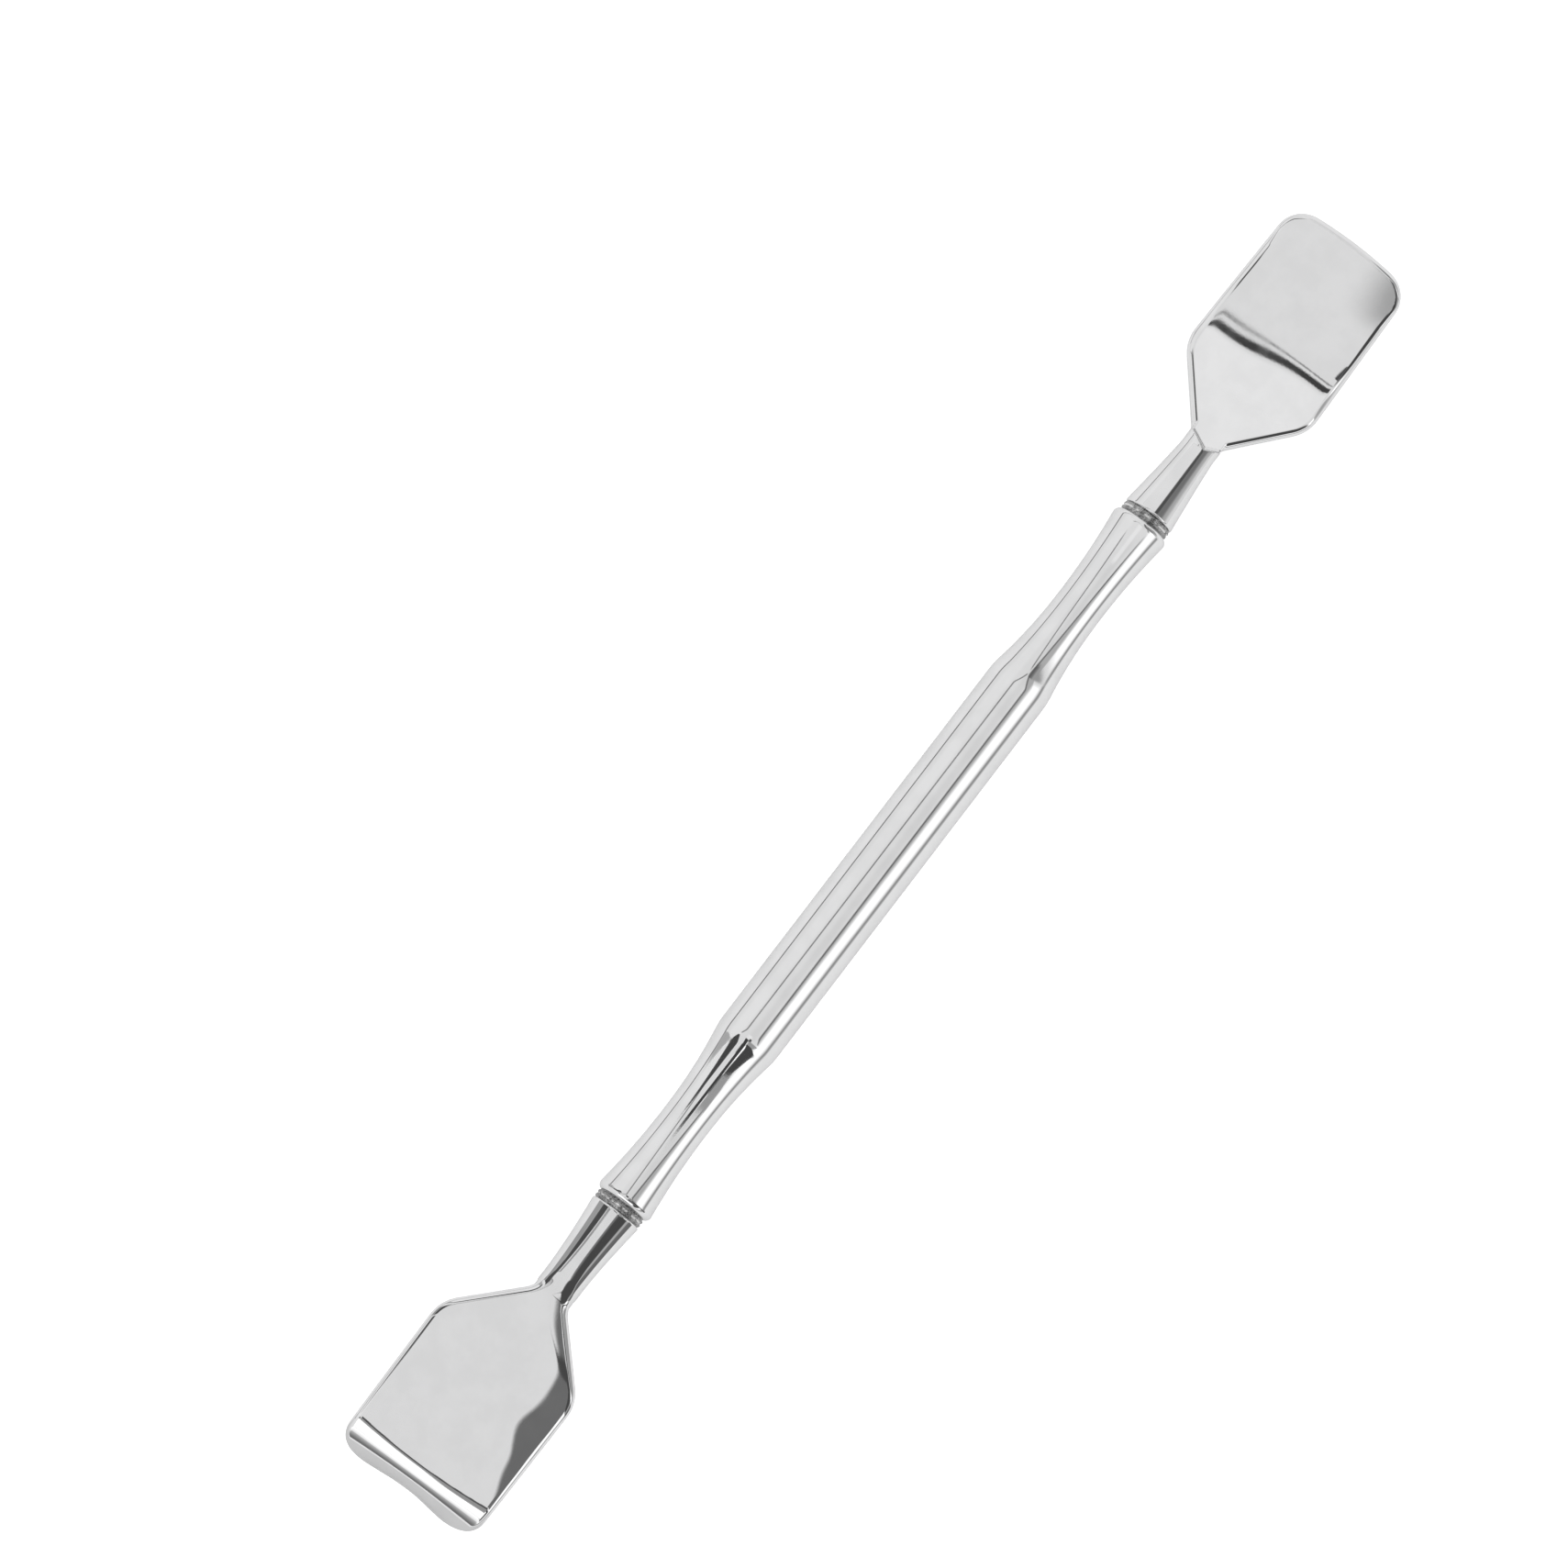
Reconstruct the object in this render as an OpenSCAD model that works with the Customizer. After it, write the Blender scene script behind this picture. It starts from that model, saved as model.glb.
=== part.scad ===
// Double-ended sculpting spatula: a waisted tube handle with a forged blade let into each end.
// Millimetres. X runs along the tool, towards the cupped blade. Y runs across the blades. Z is up.
// The origin is on the handle's axis, halfway along the tube.
// The cupped blade curves up and the lipped blade rolls down, so the tool is a flat letter S from the side.

/* [Handle] */
// Length of the handle tube, end face to end face
handle_l = 113.6; // [90:0.2:140]
// Diameter of the straight barrel in the middle
barrel_d = 9.0; // [8.6:0.1:12]
// Length of the straight barrel
barrel_l = 60.0; // [30:0.5:64]
// Smallest diameter of each waist
waist_d = 6.65; // [6.4:0.05:7.2]
// Distance from an end face to the narrowest place of its waist
waist_at = 13.5; // [13:0.1:15]
// Diameter that the flared end would reach at its end face, without its rounded rim
handle_end_d = 8.5; // [8.2:0.1:9]
// Radius of the rounded rim at each end
handle_rim_r = 0.9; // [0.3:0.1:1]
// Diameter of the bore that takes a tang
socket_d = 4.7; // [4.4:0.05:4.8]
// Wall thickness of the tube in the barrel
tube_wall = 1.1; // [0.8:0.1:1.6]

/* [Joint rings] */
// Length of the ring of joint metal between the tube and a blade
ring_l = 1.5; // [0.8:0.1:3]
// Outer diameter of the ring over its two beads
ring_d = 7.3; // [6.6:0.1:7.6]
// Depth of the groove between the two beads
ring_groove = 0.15; // [0.05:0.05:0.4]

/* [Shanks and tangs] */
// Diameter of each shank where it meets its ring
shank_root_d = 7.4; // [7:0.1:8]
// Distance from the ring to the neck, where the shank is thinnest
shank_l = 10.8; // [9:0.1:13]
// Diameter of the cupped blade's neck
cupped_neck_d = 5.15; // [5:0.05:5.6]
// Diameter of the lipped blade's neck
lipped_neck_d = 5.75; // [5.4:0.05:6]
// Diameter of the tang inside the handle
tang_d = 4.6; // [4:0.05:4.6]
// Length of tang inside the tube
tang_l = 14.0; // [6:0.5:15]

/* [Blades] */
// Thickness of both blades
blade_t = 1.8; // [1.2:0.1:2]
// Angle between the flat part of a blade and the handle's axis, in degrees
blade_slope = 6; // [4:0.5:8]
// Angle between the cupped blade's flared shoulders and the handle's axis, in degrees
cupped_flare = 41; // [38:0.5:46]
// Angle between the lipped blade's flared shoulders and the handle's axis, in degrees
lipped_flare = 43.5; // [38:0.5:48]
// Width of the cupped blade at its shoulders
cupped_w = 20.5; // [16:0.1:24]
// Width of the cupped blade near its tip
cupped_tip_w = 19.3; // [15:0.1:22]
// Distance of the cupped blade's tip from the middle of the handle
cupped_reach = 102.4; // [98:0.1:108]
// Radius of the cupped blade's hollow face
cup_r = 60; // [45:1:120]
// Width of the lipped blade at its shoulders
lipped_w = 22.5; // [18:0.1:24]
// Width of the lipped blade near its rolled end
lipped_tip_w = 21.9; // [17:0.1:24]
// Distance of the lipped blade's rolled end from the middle of the handle
lipped_reach = 103.7; // [100:0.1:108]
// Outside radius of the rolled end
lip_r = 4.9; // [3:0.1:6]
// Straight part of the lip after the roll
lip_straight = 1.0; // [0.4:0.1:2]
// How far the lip's outer face is hollowed in the middle
lip_hollow = 0.5; // [0.1:0.1:0.8]

/* [Hidden] */

$fn = 96;
eps = 0.01;
curve_steps = 16;              // straight pieces in one curved stretch of an outline
flare_power = 2;               // how fast the tube opens from a waist to its end
shoulder_power = 2.2;          // how fast the tube opens from a waist to the barrel
shank_rim_r = 0.25;            // rounded rim of a shank at its ring
cupped_shank_power = 1.15;     // 1 makes a straight cone, more makes it hollow
lipped_shank_power = 1.6;

neck_len = (handle_l - barrel_l) / 2;
handle_end_x = handle_l / 2;
root_x = handle_end_x + ring_l;
neck_x = root_x + shank_l;

facet_tip_x = handle_end_x + 8;    // where a blade's outer face runs out on its shank
facet_tip_z = 3.05;                // height of that place above the axis
step_top_x = neck_x + 0.3;         // where the blade's inner face starts to climb on to the shank
step_foot_x = neck_x + 2.6;        // where it stops climbing
cupped_root_x = neck_x - 0.6;      // point of the wedge at the root of the cupped blade's plate
lipped_root_x = neck_x + 0.4;      // point of the wedge at the root of the lipped blade's plate

shoulder_r = 5.5;
cupped_corner_r = 4.2;
cupped_end_bulge = 0.8;
lipped_corner_r = 3.0;
cupped_bend_x = root_x + 20.7;     // where the cupped blade starts to curve
// where the lipped blade starts to roll, so that the roll ends at its reach
lipped_bend_x = lipped_reach - lip_r * (1 - sin(blade_slope));

cut_size = 200;                    // longer than anything it cuts

facet_start_x = facet_tip_x - 12;  // below_face starts here, outside the shank
step_rise = 10;                    // height of the wedge that cuts the step
cup_sweep = 40;                    // angle of the curved plate before it is trimmed, in degrees

// ---- outlines -------------------------------------------------------------------------------------

// Points of an arc about a centre, from one angle to another
function arc(centre, r, from, to) =
    [for (i = [0:curve_steps]) let (a = from + (to - from) * i / curve_steps)
        centre + r * [cos(a), sin(a)]];

function unit(v) = v / norm(v);

// The arc that rounds the corner at b on the way from a to c
function rounded(a, b, c, r) =
    let (
        u = unit(a - b),
        v = unit(c - b),
        half = acos(u * v) / 2,
        centre = b + unit(u + v) * r / sin(half),
        start = b + u * r / tan(half) - centre,
        end = b + v * r / tan(half) - centre,
        from = atan2(start[1], start[0]),
        turn = atan2(start[0] * end[1] - start[1] * end[0], start * end)
    )
    arc(centre, r, from, from + turn);

function reversed(points) = [for (i = [len(points) - 1:-1:0]) points[i]];

// The same outline on the other side of the long axis, walked back
function mirrored(points) = [for (p = reversed(points)) [p[0], -p[1]]];

// The same outline at the other end of the tool, walked back
function other_end(points) = [for (p = reversed(points)) [-p[0], p[1]]];

// Radius of the tube at a distance from its end face
function tube_r(e) =
    e < waist_at
        ? waist_d / 2 + (handle_end_d - waist_d) / 2 * pow(1 - e / waist_at, flare_power)
        : waist_d / 2 + (barrel_d - waist_d) / 2
            * pow((e - waist_at) / (neck_len - waist_at), shoulder_power);

// Half of the tube's outer outline as [distance along the axis, radius], from its end to the barrel
function tube_outline() =
    let (rim_top = tube_r(handle_rim_r))
    concat(
        arc([handle_end_x - handle_rim_r, rim_top - handle_rim_r], handle_rim_r, 0, 90),
        [for (i = [1:2 * curve_steps])
            let (e = handle_rim_r + (neck_len - handle_rim_r) * i / (2 * curve_steps))
            [handle_end_x - e, tube_r(e)]]
    );

// Half of the tube's inner outline, from the barrel's cavity to the end face
function cavity_outline() = [
    [barrel_l / 2, barrel_d / 2 - tube_wall],
    [handle_end_x - waist_at - 2, socket_d / 2],
    [handle_end_x, socket_d / 2],
];

// Height of a blade's outer face below the axis; blades are drawn pointing along +X
function face_z(x) = -facet_tip_z + (x - facet_tip_x) * tan(blade_slope);

// Plan of a blade: a wedge at the root, flared shoulders and nearly parallel sides
function blade_plan(w, tip_w, start_x, flare, reach, corner_r, bulge) =
    let (
        root = [start_x, 0],
        shoulder = [start_x + w / 2 / tan(flare), w / 2],
        corner = [reach - bulge, tip_w / 2],
        tip = [reach, 0],
        side = concat(
            rounded(root, shoulder, corner, shoulder_r),
            rounded(shoulder, corner, tip, corner_r)
        )
    )
    concat([root], side, [tip], mirrored(side));

// ---- shared solids --------------------------------------------------------------------------------

// Turns an outline of [distance along the axis, radius] about the X axis
module turned(outline) {
    rotate([90, 0, 90])
        rotate_extrude()
            polygon([for (p = outline) [p[1], p[0]]]);
}

// Turns a side view of [x, z] points into a slab across the blade
module across(outline, width) {
    rotate([90, 0, 0])
        linear_extrude(height = width, center = true)
            polygon(outline);
}

// Tang and shank as one turned bar, which runs on past the neck into the blade's plate
module shank_bar(neck_d, power) {
    shank = [for (i = [1:curve_steps]) let (u = i / curve_steps)
        [root_x + shank_rim_r + (shank_l - shank_rim_r) * u,
            neck_d / 2 + (shank_root_d - neck_d) / 2 * pow(1 - u, power)]];
    turned(concat(
        [[handle_end_x - tang_l, 0], [handle_end_x - tang_l, tang_d / 2], [root_x, tang_d / 2]],
        arc([root_x + shank_rim_r, shank_root_d / 2 - shank_rim_r], shank_rim_r, 180, 90),
        shank,
        [[step_foot_x + 1, neck_d / 2], [step_foot_x + 1, 0]]
    ));
}

// Everything below a blade's outer face, which also cuts the long facet on the shank
module below_face() {
    across([
        [facet_start_x, face_z(facet_start_x)],
        [cut_size, face_z(cut_size)],
        [cut_size, -cut_size],
        [facet_start_x, -cut_size],
    ], cut_size);
}

// Everything above the short step from a blade's inner face up to the top of the shank
module above_step(neck_d) {
    foot_z = face_z(step_foot_x) + blade_t / cos(blade_slope);
    slope = (neck_d / 2 - foot_z) / (step_foot_x - step_top_x);
    across([
        [step_foot_x, foot_z],
        [step_foot_x - step_rise / slope, foot_z + step_rise],
        [cut_size, foot_z + step_rise],
        [cut_size, foot_z],
    ], cut_size);
}

// Shank and tang with both blade faces cut on them
module shank(neck_d, power) {
    difference() {
        shank_bar(neck_d, power);
        below_face();
        above_step(neck_d);
    }
}

// ---- pieces ---------------------------------------------------------------------------------------

// Waisted tube: barrel, two waists, rounded rims, a socket at each end and a cavity between
module handle_tube() {
    outer = tube_outline();
    inner = cavity_outline();
    color("gainsboro")
        turned(concat(outer, other_end(outer), other_end(inner), inner));
}

// Side view of the cupped blade's plate, from its root to its tip
function cupped_side() =
    let (
        outer_r = cup_r + blade_t,
        bend = [cupped_bend_x, face_z(cupped_bend_x)],
        centre = bend + outer_r * [-sin(blade_slope), cos(blade_slope)],
        root = [cupped_root_x, face_z(cupped_root_x)],
        thick = blade_t * [-sin(blade_slope), cos(blade_slope)]
    )
    concat(
        [root],
        arc(centre, outer_r, blade_slope - 90, blade_slope - 90 + cup_sweep),
        arc(centre, cup_r, blade_slope - 90 + cup_sweep, blade_slope - 90),
        [root + thick]
    );

module cupped_blade() {
    color("silver")
        union() {
            shank(cupped_neck_d, cupped_shank_power);
            intersection() {
                across(cupped_side(), 2 * cupped_w);
                translate([0, 0, -cut_size / 2])
                    linear_extrude(height = cut_size)
                        polygon(blade_plan(cupped_w, cupped_tip_w, cupped_root_x, cupped_flare,
                            cupped_reach, cupped_corner_r, cupped_end_bulge));
            }
        }
}

// Side view of the lipped blade's plate: flat, then a quarter roll and a short straight lip
function lipped_side() =
    let (
        bend = [lipped_bend_x, face_z(lipped_bend_x)],
        centre = bend + lip_r * [-sin(blade_slope), cos(blade_slope)],
        root = [lipped_root_x, face_z(lipped_root_x)],
        thick = blade_t * [-sin(blade_slope), cos(blade_slope)],
        lip_top = centre[1] + lip_straight
    )
    concat(
        [root],
        arc(centre, lip_r, blade_slope - 90, 0),
        [[centre[0] + lip_r, lip_top], [centre[0] + lip_r - blade_t, lip_top]],
        arc(centre, lip_r - blade_t, 0, blade_slope - 90),
        [root + thick]
    );

module lipped_blade() {
    // the hollow is a shallow cylinder that meets the corners of the lip
    half_w = lipped_tip_w / 2 - lipped_corner_r;
    hollow_r = (half_w * half_w + lip_hollow * lip_hollow) / (2 * lip_hollow);
    color("silver")
        rotate([0, 180, 0])
            union() {
                shank(lipped_neck_d, lipped_shank_power);
                difference() {
                    intersection() {
                        across(lipped_side(), 2 * lipped_w);
                        translate([0, 0, -cut_size / 2])
                            linear_extrude(height = cut_size)
                                polygon(blade_plan(lipped_w, lipped_tip_w, lipped_root_x,
                                    lipped_flare, lipped_reach + eps, lipped_corner_r, eps));
                    }
                    translate([lipped_reach - lip_hollow + hollow_r, 0, -cut_size / 2])
                        cylinder(h = cut_size, r = hollow_r);
                }
            }
}

// Ring of joint metal around the tang, with two beads
module joint_ring() {
    bead = ring_l / 4;
    turned([
        [handle_end_x, socket_d / 2],
        [handle_end_x, ring_d / 2 - bead / 2],
        [handle_end_x + bead / 2, ring_d / 2],
        [handle_end_x + 3 * bead / 2, ring_d / 2],
        [handle_end_x + 2 * bead, ring_d / 2 - ring_groove],
        [handle_end_x + 5 * bead / 2, ring_d / 2],
        [handle_end_x + 7 * bead / 2, ring_d / 2],
        [handle_end_x + ring_l, ring_d / 2 - bead / 2],
        [handle_end_x + ring_l, socket_d / 2],
    ]);
}

module cupped_end_ring() {
    color("dimgray") joint_ring();
}

module lipped_end_ring() {
    color("dimgray") rotate([0, 180, 0]) joint_ring();
}

handle_tube();
cupped_blade();
lipped_blade();
cupped_end_ring();
lipped_end_ring();
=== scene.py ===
import math

import bpy
import numpy as np
from mathutils import Matrix, Vector


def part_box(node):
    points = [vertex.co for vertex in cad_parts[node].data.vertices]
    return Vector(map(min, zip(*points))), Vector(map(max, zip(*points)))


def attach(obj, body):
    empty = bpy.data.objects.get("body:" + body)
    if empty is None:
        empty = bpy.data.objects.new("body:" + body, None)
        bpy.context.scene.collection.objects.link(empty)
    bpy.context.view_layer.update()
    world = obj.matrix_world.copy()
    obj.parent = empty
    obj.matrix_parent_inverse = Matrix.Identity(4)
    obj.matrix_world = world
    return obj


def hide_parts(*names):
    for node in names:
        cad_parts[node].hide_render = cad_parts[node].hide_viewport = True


# Looks of the double-ended sculpting spatula. Shapes are worked out in millimetres and put in the
# scene in metres. X runs along the tool, Y across its blades and Z is up, as in the CAD model.

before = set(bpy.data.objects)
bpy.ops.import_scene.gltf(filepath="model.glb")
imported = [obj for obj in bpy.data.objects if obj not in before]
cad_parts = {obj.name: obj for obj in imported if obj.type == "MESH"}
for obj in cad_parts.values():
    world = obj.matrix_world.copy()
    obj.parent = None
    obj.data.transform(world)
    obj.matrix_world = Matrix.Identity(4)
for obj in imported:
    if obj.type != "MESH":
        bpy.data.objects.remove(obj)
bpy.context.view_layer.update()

MM = 0.001


def box_mm(node):
    """Lowest and highest corner of a CAD node, in millimetres."""
    low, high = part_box(node)
    return np.array(low) / MM, np.array(high) / MM


handle_high = box_mm("handle_tube")[1]
ring_high = box_mm("cupped_end_ring")[1]
cupped_low = box_mm("cupped_blade")[0]
lipped_low = box_mm("lipped_blade")[0]

# ---- sizes, in millimetres ------------------------------------------------------------------------

HANDLE_END = handle_high[0]          # distance from the middle of the handle to its end face
BARREL_R = handle_high[2]
NECK_LEN = 26.8                      # from an end face to the barrel
WAIST_AT = 13.5                      # from an end face to the narrowest place
WAIST_R = 3.325
FLARE_R = 4.25                       # what the waist would widen to at an end face
HANDLE_RIM_R = 0.9                   # rounding of the tube's rims
SOCKET_R = 2.35                      # bore that holds a tang
SOCKET_DEPTH = 12.0
SOCKET_RIM_R = 0.25
CAVITY_R = 3.4                       # hollow inside the barrel

ROOT_X = ring_high[0] - 0.25         # where a shank meets its ring
RING_R = ring_high[2]
SHANK_LEN = 11.05                    # from the ring to the neck
NECK_X = ROOT_X + SHANK_LEN
SHANK_R = 3.7                        # at the ring
SHANK_RIM_R = 0.3
TANG_R = 2.3
TANG_START = cupped_low[0]
TANG_END_R = 0.4                     # rounding of a tang's end

BLADE_T = 1.8
SLOPE = math.radians(6)              # between a blade's flat part and the handle's axis
PLATE_ROOT_X = NECK_X + 0.4          # where s is zero along a blade
FACET_X = HANDLE_END + 8.0           # where a blade's outer face starts on its shank
FACET_Z = -3.05
SHOULDER_R = 5.5                     # rounding of a blade's shoulders, seen flat
CUPPED_FLARE = math.radians(41)      # between a blade's flared shoulders and the axis
LIPPED_FLARE = math.radians(43.5)

STEP = math.radians(79)              # steepness of the step from a shank down to its blade
STEP_SPLAY = 0.45                    # how far the step runs back for each millimetre to the side
STEP_OFFSET = 0.46                   # how far the step's point lies to one side

CUP_START = 9.6                      # along the cupped blade, where it starts to curl up
CUP_R = 61.8
LIP_START = 30.3                     # along the lipped blade, where it starts to roll over
LIP_FIRST_TURN = math.radians(39)    # how far it rolls before its radius changes

NET_STEP = 0.2                       # spacing of the grid that the blades are meshed on
NUDGE = 0.01                         # how far to each side a slope is measured
STEEL = 0.88                         # share of the light that the polished steel gives back


# ---- meshes ---------------------------------------------------------------------------------------

def new_object(name, vertices, faces, normals=None):
    """A smooth mesh object from points in millimetres, with exact normals when they are known."""
    mesh = bpy.data.meshes.new(name)
    mesh.from_pydata((np.asarray(vertices) * MM).tolist(), [], faces)
    mesh.validate()
    mesh.polygons.foreach_set("use_smooth", np.ones(len(mesh.polygons), dtype=bool))
    if normals is not None:
        mesh.normals_split_custom_set_from_vertices(normals.tolist())
    mesh.update()
    obj = bpy.data.objects.new(name, mesh)
    bpy.context.scene.collection.objects.link(obj)
    return obj


def grid_faces(rows, columns):
    """Four-sided faces of a sheet whose points are listed row by row."""
    faces = []
    for i in range(rows - 1):
        for j in range(columns - 1):
            k = i * columns + j
            faces.append((k, k + columns, k + columns + 1, k + 1))
    return faces


def lathe(name, profile, segments, shape=None):
    """Turns a closed [x, radius] outline about the X axis. shape may change each point's radius.

    The outline runs towards +X on its inner side and back on its outer side, so that faces look out.
    """
    profile = np.asarray(profile, float)
    turn = 2 * np.pi * np.arange(segments) / segments
    x = np.repeat(profile[:, 0][:, None], segments, axis=1)
    r = np.repeat(profile[:, 1][:, None], segments, axis=1)
    angle = np.repeat(turn[None, :], len(profile), axis=0)
    if shape is not None:
        r = shape(x, r, angle)
    points = np.stack([x, r * np.sin(angle), r * np.cos(angle)], -1).reshape(-1, 3)
    rows, faces = len(profile), []
    for i in range(rows):
        below = ((i + 1) % rows) * segments
        for j in range(segments):
            k = (j + 1) % segments
            faces.append((i * segments + j, i * segments + k, below + k, below + j))
    return new_object(name, points, faces)


def sharpen(obj, degrees):
    """Keeps the edges that turn by more than an angle crisp."""
    with bpy.context.temp_override(object=obj, active_object=obj, selected_objects=[obj]):
        obj.data.set_sharp_from_angle(angle=math.radians(degrees))


def surface_net(solid, low, high, step):
    """Points and four-sided faces where solid(a, b, c), negative inside, crosses zero in a box."""
    axes = [np.arange(low[i], high[i] + step, step) for i in range(3)]
    grid = np.stack(np.meshgrid(*axes, indexing="ij"), -1)
    values = solid(grid[..., 0], grid[..., 1], grid[..., 2])
    cells = tuple(n - 1 for n in values.shape)
    total, count = np.zeros(cells + (3,)), np.zeros(cells)
    crossings = []
    for axis in range(3):
        first = np.take(values, range(values.shape[axis] - 1), axis)
        second = np.take(values, range(1, values.shape[axis]), axis)
        edges = np.argwhere((first < 0) != (second < 0))
        a, b = first[tuple(edges.T)], second[tuple(edges.T)]
        place = edges.astype(float)
        place[:, axis] += a / (a - b)
        one, two = [i for i in range(3) if i != axis]
        around = []
        for back_one, back_two in ((1, 1), (0, 1), (0, 0), (1, 0)):
            cell = edges.copy()
            cell[:, one] -= back_one
            cell[:, two] -= back_two
            np.add.at(total, tuple(cell.T), place)
            np.add.at(count, tuple(cell.T), 1)
            around.append(cell)
        # the other two axes come in reverse order round Y, which turns its faces over
        outward = (a < 0) if axis != 1 else (a >= 0)
        crossings.append((around, outward))
    used = count > 0
    number = np.full(cells, -1)
    number[used] = np.arange(used.sum())
    points = total[used] / count[used][:, None] * step + np.array(low)
    faces = []
    for around, outward in crossings:
        quad = np.stack([number[tuple(c.T)] for c in around], -1)
        quad[~outward] = quad[~outward][:, ::-1]
        faces.append(quad)
    return points, np.concatenate(faces)


def slopes(function, p):
    """How fast function changes at points p, along each of the three axes."""
    columns = []
    for axis in np.eye(3):
        step = NUDGE * axis
        columns.append((function(*(p + step).T) - function(*(p - step).T)) / (2 * NUDGE))
    return np.stack(columns, -1)


def formed_solid(name, solid, form, low, high, step):
    """Meshes a solid described in flat coordinates, then bends it with form, keeping exact normals."""
    p, faces = surface_net(solid, low, high, step)
    # pulls the points onto the surface, by at most half a grid step along each axis each time
    for _ in range(4):
        g = slopes(solid, p)
        move = solid(*p.T)[:, None] * g / np.maximum((g * g).sum(-1), 0.2)[:, None]
        p = p - np.clip(move, -step / 2, step / 2)
    normals = np.einsum("nji,nj->ni", np.linalg.inv(slopes(form, p)), slopes(solid, p))
    normals /= np.linalg.norm(normals, axis=-1, keepdims=True)
    return new_object(name, form(*p.T), faces.tolist(), normals)


# ---- blending of distances ------------------------------------------------------------------------

def join(a, b, k):
    """Union of two solids with a fillet of about k."""
    h = np.maximum(k - np.abs(a - b), 0) / k
    return np.minimum(a, b) - h * h * k / 4


def cut(a, b, k):
    """Overlap of two solids with edges rounded by about k."""
    return -join(-a, -b, k)


def rounded_cut(a, b, r):
    """Overlap of two solids whose edge is rounded to a radius."""
    outside = np.hypot(np.maximum(a + r, 0), np.maximum(b + r, 0))
    return outside + np.minimum(np.maximum(a + r, b + r), 0) - r


# ---- handle ---------------------------------------------------------------------------------------

def tube_radius(e):
    """Outer radius of the handle tube at a distance from its end face."""
    flare = WAIST_R + (FLARE_R - WAIST_R) * np.maximum(1 - e / WAIST_AT, 0) ** 2
    rise = np.maximum((e - WAIST_AT) / (NECK_LEN - WAIST_AT), 0) ** 2.2
    neck = flare + (BARREL_R - WAIST_R) * rise
    return join(neck, BARREL_R, 0.2)


def handle_profile():
    """Half of the tube's outline, from the bore past the rim to the middle of the barrel."""
    points = []
    for x in np.linspace(HANDLE_END - SOCKET_DEPTH, HANDLE_END - SOCKET_RIM_R, 8):
        points.append((x, SOCKET_R))
    for a in np.radians(np.linspace(-90, 0, 4))[1:]:
        points.append((HANDLE_END - SOCKET_RIM_R * (1 - math.cos(a)),
                       SOCKET_R + SOCKET_RIM_R * (1 + math.sin(a))))
    top = float(tube_radius(HANDLE_RIM_R))
    for a in np.radians(np.linspace(0, 90, 14)):
        points.append((HANDLE_END - HANDLE_RIM_R * (1 - math.cos(a)),
                       top - HANDLE_RIM_R * (1 - math.sin(a))))
    for e in np.linspace(HANDLE_RIM_R, NECK_LEN + 2, 120)[1:]:
        points.append((HANDLE_END - e, float(tube_radius(e))))
    for x in np.linspace(HANDLE_END - NECK_LEN - 2, 0, 12)[1:]:
        points.append((x, BARREL_R))
    return points


def handle():
    """The tube: its outside from one bore to the other, then the cavity back to the start."""
    half = handle_profile()
    outer = half + [(-x, r) for x, r in reversed(half[:-1])]
    cavity = [(x, CAVITY_R) for x in (-30.0, -15.0, 0.0, 15.0, 30.0)]
    obj = lathe("polished_handle", outer + cavity, 192)
    sharpen(obj, 35)
    return obj


# ---- blades ---------------------------------------------------------------------------------------
# A blade is described flat: s runs along its outer face from the root of the plate, y across it and
# n from the outer face to the inner face. Both blades are formed pointing along +X with the outer
# face down, and the lipped blade is then turned about Y to the other end, with the outer face up.

def face_start():
    """Where s is zero, as (x, z)."""
    return PLATE_ROOT_X, FACET_Z + (PLATE_ROOT_X - FACET_X) * math.tan(SLOPE)


def curl(s, n):
    """x and z on a strip that is straight as far as CUP_START and then curls up evenly."""
    x0, z0 = face_start()
    straight = np.minimum(s, CUP_START)
    angle = SLOPE + np.maximum(s - CUP_START, 0) / CUP_R
    x = x0 + straight * math.cos(SLOPE) + CUP_R * (np.sin(angle) - math.sin(SLOPE))
    z = z0 + straight * math.sin(SLOPE) + CUP_R * (math.cos(SLOPE) - np.cos(angle))
    return x - n * np.sin(angle), z + n * np.cos(angle)


def roll(s, n, start, first, second):
    """x and z on a strip that rolls over to a right angle, with one radius and then another."""
    x0, z0 = face_start()
    rest = math.pi / 2 - SLOPE - LIP_FIRST_TURN
    straight = np.minimum(s, start)
    a = np.clip((s - start) / first, 0, LIP_FIRST_TURN)
    left = np.maximum(s - start - first * LIP_FIRST_TURN, 0)
    b = np.clip(left / second, 0, rest)
    after = np.maximum(left - second * rest, 0)
    middle, end = SLOPE + a, SLOPE + a + b
    x = x0 + straight * math.cos(SLOPE) + first * (np.sin(middle) - math.sin(SLOPE))
    z = z0 + straight * math.sin(SLOPE) + first * (math.cos(SLOPE) - np.cos(middle))
    x = x + second * (np.sin(end) - np.sin(middle)) + after * np.cos(end) - n * np.sin(end)
    z = z + second * (np.cos(middle) - np.cos(end)) + after * np.sin(end) + n * np.cos(end)
    return x, z


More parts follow.
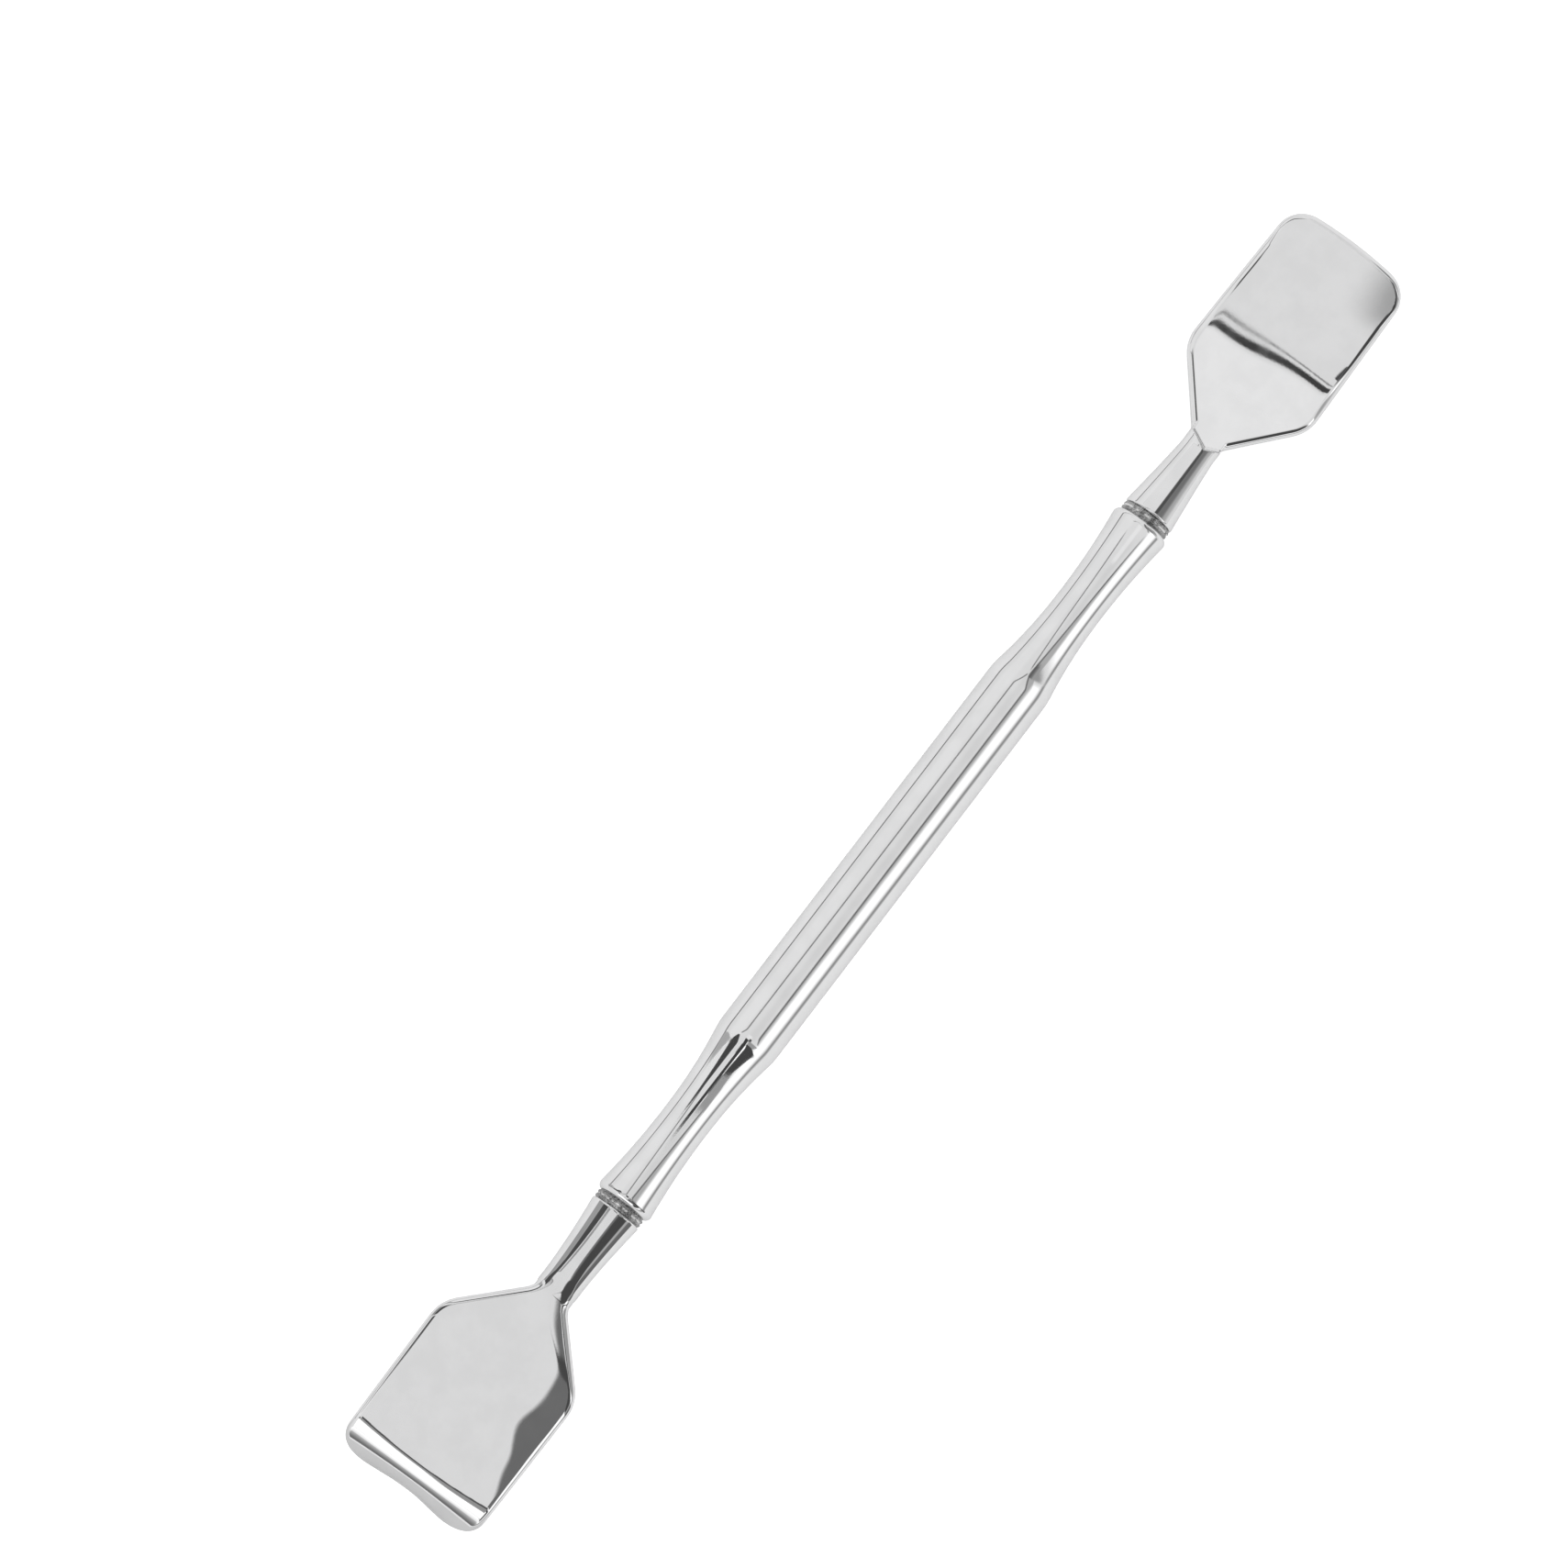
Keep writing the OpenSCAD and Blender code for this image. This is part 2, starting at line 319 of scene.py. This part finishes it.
class Blade:
    """Shape of one blade, in its flat coordinates."""

    def __init__(self, neck_r, power, width, tip_width, length, corner_r, bulge, root, flare,
                 inner_edge_r, outer_edge_r, form):
        self.neck_r = neck_r
        self.power = power                  # how early the shank gets thin
        self.half = width / 2
        self.tip_half = tip_width / 2
        self.length = length
        self.corner_r = corner_r
        self.bulge = bulge                  # how far the end bows out in the middle
        self.root = root                    # s of the point where the flared sides would meet
        self.flare = flare
        self.inner_edge_r = inner_edge_r
        self.outer_edge_r = outer_edge_r
        self.form = form                    # bends flat coordinates into place

    def plan(self, s, y):
        """Distance to the outline of the plate, seen flat."""
        y = np.abs(y)
        shoulder = self.root + self.half / math.tan(self.flare)
        taper = math.atan2(self.half - self.tip_half, self.length - shoulder)
        flare_n = np.array([-math.sin(self.flare), math.cos(self.flare)])
        side_n = np.array([math.sin(taper), math.cos(taper)])
        flare = (s - self.root) * flare_n[0] + y * flare_n[1]
        side = (s - shoulder) * side_n[0] + (y - self.half) * side_n[1]
        end_r = (self.tip_half ** 2 + self.bulge ** 2) / (2 * self.bulge)
        end_centre = self.length - end_r
        end = np.hypot(s - end_centre, y) - end_r
        d = np.maximum(np.maximum(flare, side), end)

        # rounded shoulder
        inset = np.array([flare_n[0] * self.root, side_n @ (shoulder, self.half)]) - SHOULDER_R
        centre = np.linalg.solve(np.stack([flare_n, side_n]), inset)
        u, v = s - centre[0], y - centre[1]
        within = (u * side_n[1] - v * side_n[0] <= 0) & (u * flare_n[1] - v * flare_n[0] >= 0)
        d = np.where(within, np.hypot(u, v) - SHOULDER_R, d)

        # rounded corner, whose centre is found in a few rounds
        cy = self.tip_half - self.corner_r
        for _ in range(3):
            cs = end_centre + math.sqrt((end_r - self.corner_r) ** 2 - cy ** 2)
            cy = self.half - math.tan(taper) * (cs - shoulder) - self.corner_r / math.cos(taper)
        u, v = s - cs, y - cy
        end_n = np.array([cs - end_centre, cy]) / math.hypot(cs - end_centre, cy)
        within = (u * end_n[1] - v * end_n[0] <= 0) & (u * side_n[1] - v * side_n[0] >= 0)
        return np.where(within, np.hypot(u, v) - self.corner_r, d)

    def bar(self, x, y, z):
        """Distance to the shank and its tang."""
        u = np.clip((x - ROOT_X) / SHANK_LEN, 0, 1)
        r = np.hypot(y, z)
        cone = self.neck_r + (SHANK_R - self.neck_r) * (1 - u) ** self.power
        shank = rounded_cut(r - cone, ROOT_X - x, SHANK_RIM_R)
        tang = np.maximum(rounded_cut(r - TANG_R, TANG_START - x, TANG_END_R), x - ROOT_X - 2)
        return np.maximum(np.minimum(shank, tang), x - NECK_X - 6)

    def solid(self, s, y, n):
        """Distance to the whole blade: plate, shank and tang."""
        x, _, z = np.moveaxis(self.form(s, y, n), -1, 0)
        # the inner edge gets sharper towards the tip
        inner_r = self.inner_edge_r * (1 - 0.5 * np.clip((s - self.length + 7) / 5, 0, 1))
        plate = rounded_cut(self.plan(s, y), n - BLADE_T, inner_r)
        # the shank ends in a step down to the blade's inner face
        step_x = NECK_X + 0.25 + STEP_SPLAY * np.abs(y + STEP_OFFSET)
        beyond = (x - step_x) * math.sin(STEP) + (z - self.neck_r) * math.cos(STEP)
        bar = cut(self.bar(x, y, z), join(beyond, n - BLADE_T, 0.35), 0.25)
        # the fillet between them fades out above the inner face, and the neck's outer edge is sharp
        fillet = 0.8 * np.clip((BLADE_T - n) / 0.8, 0.02, 1)
        edge_r = 0.3 + (self.outer_edge_r - 0.3) * np.clip((s + 0.5) / 4.0, 0, 1)
        return rounded_cut(join(bar, plate, fillet), -n, edge_r)

    def mesh(self, name):
        """Meshes the blade in a box that holds its tang, its widest place and its shank's top."""
        low, high = (-28.0, -12.1, -0.7), (self.length + 0.7, 12.1, 8.6)
        return formed_solid(name, self.solid, self.form, low, high, NET_STEP)


def cupped_form(s, y, n):
    """Curls the cupped blade up, with a slight wave across it and its -Y corner eased down."""
    x, z = curl(s, n)
    sway = np.sin(np.clip(y / 6.5, -1, 1) * np.pi / 2)
    edge = np.sign(y) * np.clip((np.abs(y) - 8.2) / 1.6, 0, 1) ** 2
    wave = (s - 15.3) * np.exp(-((s - 15.3) / 4.0) ** 2)
    corner = np.maximum(-y - 2.0, 0) * (1 - np.exp(-(np.maximum(s - 20.0, 0) / 6.0) ** 2))
    return np.stack([x, y, z + 0.0155 * (sway + 3.0 * edge) * wave - 0.0036 * corner ** 2], -1)


def worn_drop(s, y):
    """How far the worn -Y edge of the lipped blade falls away from its flat face."""
    worn_and_highlight = 2.6 + 2.6 * np.exp(-((s - 17.0) / 6.5) ** 2) + 0.25 * np.sin(2 * np.pi * (s - 10.3) / 6.6)
    worn_and_highlight = worn_and_highlight + 0.6 * np.exp(-((s - 4.5) / 4.0) ** 2)
    worn_and_highlight = worn_and_highlight * np.clip((s + 2.5) / 5.0, 0, 1) * np.clip((33.0 - s) / 12.0, 0, 1) ** 0.5
    outline = np.maximum(join(s * math.tan(LIPPED_FLARE), 11.2, 2.0), 2.3)
    inset = np.maximum(worn_and_highlight - (outline + y), 0)
    return 0.09 * (np.hypot(inset, 1.6) - 1.6)


def lipped_form(s, y, n):
    """Rolls the lipped blade's end over, more tightly in the middle and with two slight ripples."""
    across = np.clip(y / 11.0, -1.1, 1.1) ** 2
    start = LIP_START - 0.75 * across + 0.02 * y
    ripple = 1.6 * np.exp(-((y + 6.8) / 3.5) ** 2) + 0.6 * np.exp(-((y - 6.5) / 3.5) ** 2)
    x, z = roll(s, n + worn_drop(s, y), start, 3.6 + 1.7 * across, 4.6 + 2.4 * across + ripple)
    return np.stack([x, y, z], -1)


def cupped_blade():
    blade = Blade(neck_r=2.575, power=1.15, width=20.5, tip_width=19.3, length=35.1, corner_r=4.2,
                  bulge=0.8, root=-1.0, flare=CUPPED_FLARE, inner_edge_r=1.05, outer_edge_r=0.6,
                  form=cupped_form)
    return blade.mesh("polished_cupped_blade")


def lipped_blade():
    blade = Blade(neck_r=2.875, power=1.6, width=22.5, tip_width=21.9, length=37.6, corner_r=5.5,
                  bulge=0.3, root=0.0, flare=LIPPED_FLARE, inner_edge_r=0.7, outer_edge_r=0.95,
                  form=lipped_form)
    obj = blade.mesh("polished_lipped_blade")
    obj.matrix_world = Matrix.Rotation(math.pi, 4, "Y")
    return obj


# ---- joint rings ----------------------------------------------------------------------------------

def joint_ring(name, side, seed):
    """A ring of rough metal with two beads, slightly uneven all round."""
    length = ROOT_X - HANDLE_END
    # each groove's place, depth and width
    grooves = ((0.0, 0.22, 0.16), (0.5 * length, 0.13, 0.12), (length, 0.22, 0.16))
    profile = [(x, SOCKET_R) for x in np.linspace(0, length, 6)]
    for x in np.linspace(length, 0, 49):
        depth = sum(deep * math.exp(-((x - at) / wide) ** 2) for at, deep, wide in grooves)
        profile.append((x, RING_R - 0.06 - depth))
    profile = [(side * (HANDLE_END + x), r) for x, r in profile]
    if side < 0:
        profile.reverse()
    waves = np.random.default_rng(seed)
    phase = waves.uniform(0, 2 * np.pi, 12)

    def uneven(x, r, angle):
        outer = np.clip((r - SOCKET_R) / (RING_R - SOCKET_R), 0, 1)
        for i, p in enumerate(phase):
            r = r + 0.008 * outer * np.sin((3 + 5 * i) * angle + p + (4 + 3 * i) * x)
        return r

    return lathe(name, profile, 240, uneven)


# ---- materials ------------------------------------------------------------------------------------

class Nodes:
    """Short ways to add shader nodes."""

    def __init__(self, tree):
        self.tree = tree

    def add(self, kind, **settings):
        node = self.tree.nodes.new(kind)
        for key, value in settings.items():
            setattr(node, key, value)
        return node

    def put(self, value, socket):
        if isinstance(value, bpy.types.NodeSocket):
            self.tree.links.new(value, socket)
        else:
            socket.default_value = value

    def math(self, operation, *values):
        node = self.add("ShaderNodeMath", operation=operation)
        for value, socket in zip(values, node.inputs):
            self.put(value, socket)
        return node.outputs[0]

    def ramp(self, value, low, high, to_low=0.0, to_high=1.0):
        """Goes smoothly from to_low to to_high while value goes from low to high."""
        node = self.add("ShaderNodeMapRange", interpolation_type="SMOOTHSTEP")
        for item, socket in zip((value, low, high, to_low, to_high), node.inputs):
            self.put(item, socket)
        return node.outputs[0]

    def window(self, value, low, high, soft):
        """1 while value is between low and high, with soft ends."""
        rise = self.ramp(value, self.math("SUBTRACT", low, soft), self.math("ADD", low, soft))
        fall = self.ramp(value, self.math("SUBTRACT", high, soft), self.math("ADD", high, soft), 1.0, 0.0)
        return self.math("MULTIPLY", rise, fall)

    def mix(self, factor, a, b):
        """a where factor is 0, b where it is 1."""
        node = self.add("ShaderNodeMix")
        for item, socket in zip((factor, a, b), (node.inputs[0], node.inputs[2], node.inputs[3])):
            self.put(item, socket)
        return node.outputs[0]

    def noise(self, vector, scale, detail=2.0):
        node = self.add("ShaderNodeTexNoise")
        node.inputs["Scale"].default_value = scale
        node.inputs["Detail"].default_value = detail
        self.put(vector, node.inputs["Vector"])
        return node.outputs["Fac"]

    def place(self):
        return self.add("ShaderNodeNewGeometry").outputs["Position"]

    def axes(self, vector):
        """x, y and z of a vector."""
        node = self.add("ShaderNodeSeparateXYZ")
        self.put(vector, node.inputs[0])
        return node.outputs

    def millimetres(self, length):
        return self.math("MULTIPLY", length, 1 / MM)

    def turn(self, y, z):
        """Angle about the tool in degrees. 0 is straight up and 90 is level, towards -Y."""
        return self.math("DEGREES", self.math("ARCTAN2", self.math("MULTIPLY", y, -1.0), z))

    def colour(self, red, green, blue):
        node = self.add("ShaderNodeCombineColor")
        for value, socket in zip((red, green, blue), node.inputs):
            self.put(value, socket)
        return node.outputs[0]

    def grey(self, level):
        return self.colour(level, level, level)

    def bump(self, height, strength, distance):
        node = self.add("ShaderNodeBump")
        self.put(strength, node.inputs["Strength"])
        self.put(distance, node.inputs["Distance"])
        self.put(height, node.inputs["Height"])
        return node.outputs[0]

    def choose(self, factor, first, second, output):
        """Shows the first shader where factor is 0 and the second where it is 1."""
        node = self.add("ShaderNodeMixShader")
        for item, socket in zip((factor, first.outputs[0], second.outputs[0]), node.inputs):
            self.put(item, socket)
        self.put(node.outputs[0], self.add(output).inputs["Surface"])


def empty_nodes(owner):
    """Starts the nodes of a material or a world."""
    owner.use_nodes = True
    owner.node_tree.nodes.clear()
    return Nodes(owner.node_tree)


def new_material(name):
    material = bpy.data.materials.new(name)
    nodes = empty_nodes(material)
    shader = nodes.add("ShaderNodeBsdfPrincipled")
    nodes.put(shader.outputs[0], nodes.add("ShaderNodeOutputMaterial").inputs["Surface"])
    return material, nodes, shader


def polished_steel():
    """Mirror polish with a trace of polishing haze."""
    material, nodes, shader = new_material("polished_steel")
    haze = nodes.noise(nodes.place(), 300.0, 3.0)
    grain = nodes.noise(nodes.place(), 4000.0, 1.0)
    level = nodes.ramp(haze, 0.3, 0.7, STEEL - 0.02, STEEL + 0.02)
    bluish = nodes.math("MULTIPLY", level, 1.005)
    nodes.put(nodes.colour(level, level, bluish), shader.inputs["Base Color"])
    nodes.put(1.0, shader.inputs["Metallic"])
    nodes.put(nodes.ramp(haze, 0.3, 0.7, 0.02, 0.06), shader.inputs["Roughness"])
    nodes.put(nodes.bump(grain, 0.05, 0.01 * MM), shader.inputs["Normal"])
    return material


def joint_metal():
    """Rough grey metal left as joined; its middle groove has light places, partly wear, partly painted
    highlight.
    """
    material, nodes, shader = new_material("joint_metal")
    grain = nodes.noise(nodes.place(), 5000.0, 4.0)
    patches = nodes.noise(nodes.place(), 900.0, 2.0)
    level = nodes.math("MULTIPLY", nodes.ramp(grain, 0.35, 0.65, 0.28, 0.62),
                       nodes.ramp(patches, 0.35, 0.65, 0.6, 1.0))
    x = nodes.millimetres(nodes.math("ABSOLUTE", nodes.axes(nodes.place())[0]))
    middle, half_width = (HANDLE_END + ROOT_X) / 2, 0.12
    # the middle groove is painted lighter in patches, partly wear and partly a painted highlight
    groove = nodes.window(x, middle - half_width, middle + half_width, 0.08)
    worn_and_highlight = nodes.math("MULTIPLY", groove, nodes.ramp(patches, 0.4, 0.55))
    nodes.put(nodes.grey(nodes.mix(worn_and_highlight, level, 0.95)), shader.inputs["Base Color"])
    nodes.put(1.0, shader.inputs["Metallic"])
    nodes.put(nodes.ramp(patches, 0.3, 0.7, 0.2, 0.4), shader.inputs["Roughness"])
    nodes.put(nodes.bump(grain, 0.6, 0.05 * MM), shader.inputs["Normal"])
    return material


# ---- studio ---------------------------------------------------------------------------------------

def linear(level):
    """Light for a display brightness. 255 is full white, and more than that is a bright lamp."""
    return ((level / 255 + 0.055) / 1.055) ** 2.4


def in_steel(level):
    """Light that has a display brightness when it is seen in the polished steel."""
    return linear(level) / STEEL


def world_light():
    """A white light tent round the metal, and even white light for everything else.

    Directions are given by their lean towards +X and their turn about the tool, in degrees.
    """
    world = bpy.data.worlds.new("light_tent")
    bpy.context.scene.world = world
    nodes = empty_nodes(world)
    dx, dy, dz = nodes.axes(nodes.add("ShaderNodeTexCoord").outputs["Generated"])
    lean = nodes.math("DEGREES", nodes.math("ARCSINE", dx))
    turn = nodes.turn(dy, dz)

    def patch(under, leans, turns, soft, level, skew=0.0):
        """Repaints a range of leans and turns. skew slides the turns with the lean."""
        across = nodes.math("SUBTRACT", turn, nodes.math("MULTIPLY", lean, skew))
        mask = nodes.math("MULTIPLY", nodes.window(lean, *leans, soft[0]),
                          nodes.window(across, *turns, soft[1]))
        return nodes.mix(mask, under, in_steel(level))

    light = linear(228)
    # the wall on the +Y side, and the seam at its foot
    light = patch(light, (-100, 100), (-70, -30), (1, 8), 222)
    light = patch(light, (-18, 100), (-90.5, -85.0), (1, 1.5), 120)
    # the middle strip, between two slanting seams, and the grey panel beyond the second seam
    light = patch(light, (-2, 27), (-3, 20), (2, 8), 208)
    light = patch(light, (-2, 27), (-31.5, -27.0), (1, 1.5), 125, skew=1.08)
    light = patch(light, (-3, 30), (36, 60), (1, 2), 170, skew=-1.0)
    light = patch(light, (-3, 30), (33, 39), (1, 2), 110, skew=-1.0)
    # the opening and the grey wall towards +X, which the handle's slope at its cupped end sees
    light = patch(light, (25, 60), (9, 24), (1, 4), 85)
    light = patch(light, (25, 60), (20, 100), (1.5, 12), 150)
    # the softbox on the -Y side, and the shade below it
    light = patch(light, (-60, 21), (41, 70), (3, 8), 264)
    light = patch(light, (-100, 24), (76, 87), (2, 5), 140)
    # the gap that crosses the cupped blade, the fine line beyond it and the pale sheet before it
    light = patch(light, (-14.2, -12.0), (-8, 8), (0.4, 2), 62)
    light = patch(light, (-15.9, -15.3), (-8, 8), (0.2, 2), 140)
    light = patch(light, (-11, 2), (-8, 8), (0.5, 4), 226)
    # the shade at the cupped blade's tip
    light = patch(light, (-50, -32), (3.5, 22), (6, 3), 162)
    # the softbox towards -X, and the wall that darkens below it
    light = patch(light, (-68, -52), (-60, 60), (2, 8), 262)
    light = patch(light, (-200, -71), (-180, 180), (19, 8), 105)
    # the openings that the cupped blade's flared edges see
    light = patch(light, (-54, -16), (12, 62), (3, 4), 66)
    light = patch(light, (-30, -17), (-36, -14), (2, 4), 72)

    even = nodes.add("ShaderNodeBackground")
    nodes.put((1.0, 1.0, 1.0, 1.0), even.inputs["Color"])
    tent = nodes.add("ShaderNodeBackground")
    nodes.put(nodes.grey(light), tent.inputs["Color"])
    mirrored = nodes.add("ShaderNodeLightPath").outputs["Is Glossy Ray"]
    nodes.choose(mirrored, even, tent, "ShaderNodeOutputWorld")
    world.cycles.sampling_method = "NONE"


def card_material(name, reach, first, last, level, soft):
    """Glows inside the card's edges and is clear outside them."""
    material = bpy.data.materials.new(name)
    nodes = empty_nodes(material)
    x, y, z = nodes.axes(nodes.place())
    x = nodes.millimetres(x)
    edges = []
    for start, end in zip(first, last):
        edge = nodes.add("ShaderNodeMapRange")
        for value, socket in zip((x, *reach, start, end), edge.inputs):
            nodes.put(value, socket)
        edges.append(edge.outputs[0])
    mask = nodes.math("MULTIPLY", nodes.window(x, *reach, soft[0]),
                      nodes.window(nodes.turn(y, z), *edges, soft[1]))
    clear = nodes.add("ShaderNodeBsdfTransparent")
    glow = nodes.add("ShaderNodeEmission")
    nodes.put(in_steel(level), glow.inputs["Strength"])
    nodes.choose(mask, clear, glow, "ShaderNodeOutputMaterial")
    return material


def arch(name, radius, reach, first, level, soft, last=None):
    """A strip of card bent round the tool, which shows only in the metal.

    reach is its range along X in millimetres. Its edges are turns about the tool in degrees, and run
    straight from those in first, where the range starts, to those in last, where it ends. soft is how
    gradually the ends and the edges fade.
    """
    last = last or first
    rows, columns = 12, 40
    end_margin, edge_margin = 10, 12
    low, high = min(first[0], last[0]) - edge_margin, max(first[1], last[1]) + edge_margin
    xs = np.linspace(reach[0] - end_margin, reach[1] + end_margin, rows)
    angles = np.radians(np.linspace(low, high, columns))
    points = [(x, -radius * math.sin(a), radius * math.cos(a)) for x in xs for a in angles]
    obj = new_object(name, points, grid_faces(rows, columns))
    obj.data.materials.append(card_material(name, reach, first, last, level, soft))
    obj.visible_camera = False
    obj.visible_diffuse = False
    obj.visible_shadow = False


def cards():
    """Openings and pale strips of the tent that are near the tool, so that each part sees its own."""
    # over the lipped blade, and beside its edges
    arch("blade_sheet", 131, (-126, -72), (-30, 9), 214, (1, 2))
    arch("blade_opening", 130, (-122, -66), (8, 55), 104, (1.5, 2), last=(6.5, 18))
    arch("flare_opening", 399, (-78, -46), (4, 14), 75, (2, 1), last=(4, 12))
    arch("blade_edge_left", 400, (-150, -128), (-60, -24), 80, (4, 2))
    # round the shank at the lipped end
    arch("shank_left", 120, (-92, -56), (-62, -32), 72, (1.5, 2), last=(-62, -34))
    arch("shank_left_grey", 121, (-92, -56), (-90, -60), 150, (1.5, 4))
    arch("shank_line", 118, (-80, -62), (-38, -27), 140, (1.5, 3), last=(2, 12))
    arch("shank_right", 120, (-92, -56), (3, 58), 68, (1.5, 2), last=(26, 58))
    arch("shank_right_line", 121, (-92, -56), (70, 95), 100, (1.5, 4))
    arch("shank_right_grey", 122, (-92, -56), (40, 102), 160, (1.5, 3))
    # round the waist at the lipped end
    arch("waist_left", 80, (-54.5, -37), (-54, -19), 66, (0.7, 1.5), last=(-37, -31))
    arch("waist_left_grey", 81, (-52, -41), (-95, -40), 165, (0.7, 2), last=(-84, -72))
    arch("waist_right", 80, (-55, -44), (14, 95), 66, (0.7, 1.5), last=(6, 28))
    arch("waist_right_grey", 81, (-45, -37.5), (7, 32), 150, (0.8, 2), last=(7, 42))
    arch("waist_gleam", 80, (-54.5, -47), (5, 15), 262, (0.6, 1), last=(5, 9))
    arch("waist_middle", 79, (-55.5, -36), (-4, 5), 60, (1.0, 0.7), last=(-9, 3))
    # round the shank at the cupped end
    arch("upper_shank_line", 79, (68, 112), (98, 107), 115, (2, 3))
    arch("upper_shank_dark", 80, (84, 112), (7, 22), 75, (2, 3), last=(28, 37))
    arch("upper_shank_grey", 81, (82, 112), (10, 52), 110, (2, 8), last=(28, 56))
    arch("upper_shank_pale", 82, (78, 112), (30, 74), 162, (2, 10))
    arch("upper_shank_light", 83, (86, 112), (-50, 12), 218, (2, 3))
    arch("upper_shank_side", 84, (68, 112), (62, 125), 208, (2, 6))
    # in front of the lip
    arch("lip_dark", 150, (-146, -129), (-9, 24), 80, (1.5, 1))
    arch("lip_grey", 151, (-164, -146), (-12, 24), 140, (6, 1))
    arch("lip_side_grey", 151.5, (-186, -150), (2.8, 24), 145, (3, 1), last=(-1, 24))
    arch("lip_light", 152, (-292, -162), (-40, 40), 264, (6, 1))


def floor_material():
    """Pale matt sheet. The metal sees it darker than the camera does, and darker still just past the lip,
    where shade is painted.
    """
    material, nodes, shader = new_material("pale_floor")
    to_camera = nodes.add("ShaderNodeLightPath").outputs["Is Camera Ray"]
    x = nodes.millimetres(nodes.axes(nodes.place())[0])
    # painted shade: just past the lip, the floor is darker where the metal sees it
    painted_shade_past_lip = nodes.window(x, -150.0, -103.0, 2.0)
    in_metal = nodes.mix(painted_shade_past_lip, 0.84, 0.64)
    fibre = nodes.ramp(nodes.noise(nodes.place(), 200.0), 0.2, 0.8, 0.995, 1.005)
    colour = nodes.grey(nodes.math("MULTIPLY", nodes.mix(to_camera, in_metal, 1.0), fibre))
    nodes.put(colour, shader.inputs["Base Color"])
    nodes.put(colour, shader.inputs["Emission Color"])
    nodes.put(nodes.math("MULTIPLY", to_camera, 0.5), shader.inputs["Emission Strength"])
    nodes.put(0.9, shader.inputs["Roughness"])
    nodes.put(0.0, shader.inputs["Specular IOR Level"])
    return material


def floor():
    """A wide flat sheet that just clears the two places the tool rests on, its lip and its barrel."""
    lip_x, lip_z = lipped_low[0] + 0.4, lipped_low[2]
    barrel_x, barrel_z = 30.0, -BARREL_R
    slope = (barrel_z - lip_z) / (barrel_x - lip_x)
    size, rows, gap = 6000.0, 24, 0.02
    ticks = np.linspace(-size / 2, size / 2, rows)
    points = [(x, y, barrel_z - gap + (x - barrel_x) * slope) for x in ticks for y in ticks]
    obj = new_object("floor_sheet", points, grid_faces(rows, rows))
    obj.data.materials.append(floor_material())


def camera():
    """Looks down on the tool, with the cupped blade up and to the right. Lengths are in metres."""
    lean = math.radians(7)               # from straight above, towards the lipped end
    spin = math.radians(52.6)            # of the tool, from level in the picture
    distance = 1.2
    view_width = 0.2064                  # seen across the picture, at the tool
    sensor = 36                          # millimetres
    away = Vector((-math.sin(lean), 0, math.cos(lean)))
    along = Vector((math.cos(lean), 0, math.sin(lean)))
    across = Vector((0, 1, 0))
    right = along * math.cos(spin) - across * math.sin(spin)
    up = along * math.sin(spin) + across * math.cos(spin)
    aim = right * -0.0131 + up * 0.0103  # puts the tool where it belongs in the picture
    data = bpy.data.cameras.new("camera")
    data.sensor_width = sensor
    data.lens = sensor * distance / view_width
    data.clip_start = 0.01
    data.clip_end = 20
    obj = bpy.data.objects.new("camera", data)
    bpy.context.scene.collection.objects.link(obj)
    place = away * distance
    back = (place - aim).normalized()
    side = (right - back * right.dot(back)).normalized()
    top = back.cross(side)
    turn = Matrix((side, top, back)).transposed().to_4x4()
    obj.matrix_world = Matrix.Translation(place) @ turn
    bpy.context.scene.camera = obj


# ---- assembly -------------------------------------------------------------------------------------

def use(obj, node, material):
    """Puts a finished piece in place of its CAD node."""
    obj.data.materials.append(material)
    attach(obj, "root")
    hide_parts(node)


steel = polished_steel()
joint = joint_metal()
use(handle(), "handle_tube", steel)
use(cupped_blade(), "cupped_blade", steel)
use(lipped_blade(), "lipped_blade", steel)
use(joint_ring("cupped_end_joint", 1, 3), "cupped_end_ring", joint)
use(joint_ring("lipped_end_joint", -1, 8), "lipped_end_ring", joint)

world_light()
cards()
floor()
camera()
bpy.context.scene.view_settings.view_transform = "Standard"
